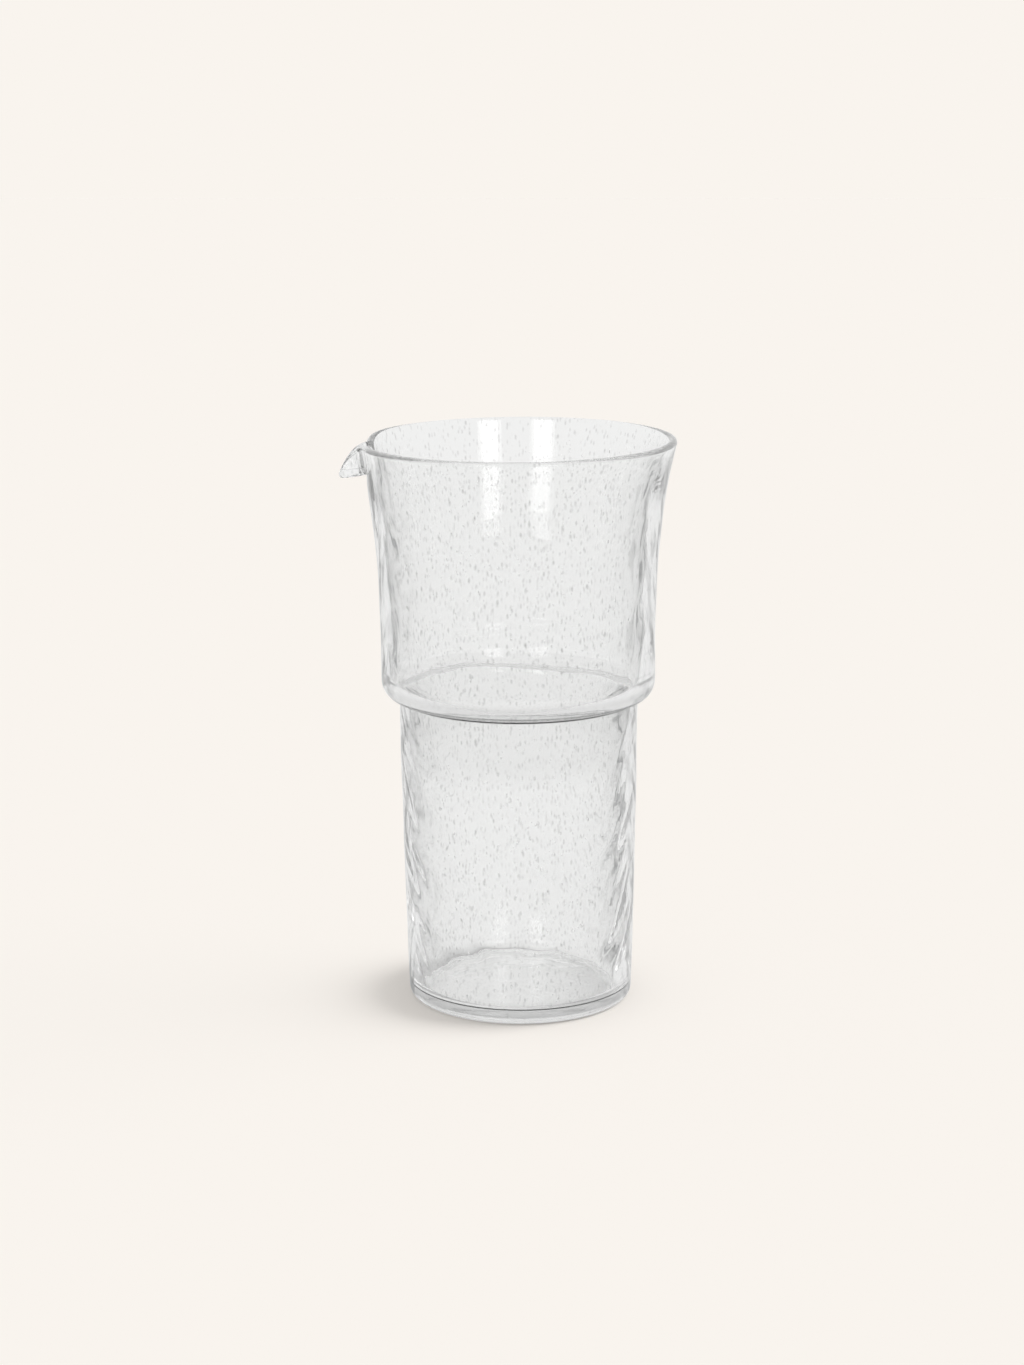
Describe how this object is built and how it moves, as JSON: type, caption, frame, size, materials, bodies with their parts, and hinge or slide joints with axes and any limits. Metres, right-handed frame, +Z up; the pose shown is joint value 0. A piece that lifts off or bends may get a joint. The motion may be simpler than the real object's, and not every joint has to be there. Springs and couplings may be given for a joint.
{
  "type": "glass carafe",
  "caption": "Stepped clear seeded-glass carafe: slim tapered grip, rounded shoulder, flared open bowl and a small pinched spout for pouring drinks at the table.",
  "frame": {"origin": "centre of the flat resting face, on the carafe's axis", "axes": "+Z up along the axis, the spout towards -X, +Y to the back of the pictured view"},
  "size_m": [0.1374, 0.13, 0.235],
  "materials": {
    "seeded_glass": "clear thick glass with fine air seeds, softly rippled inside, fire-rounded rim"
  },
  "bodies": {
    "root": {"base": "seeded_glass", "lower_body": "seeded_glass", "step_shoulder": "seeded_glass", "upper_bowl": "seeded_glass", "pouring_spout": "seeded_glass"}
  },
  "joints": []
}
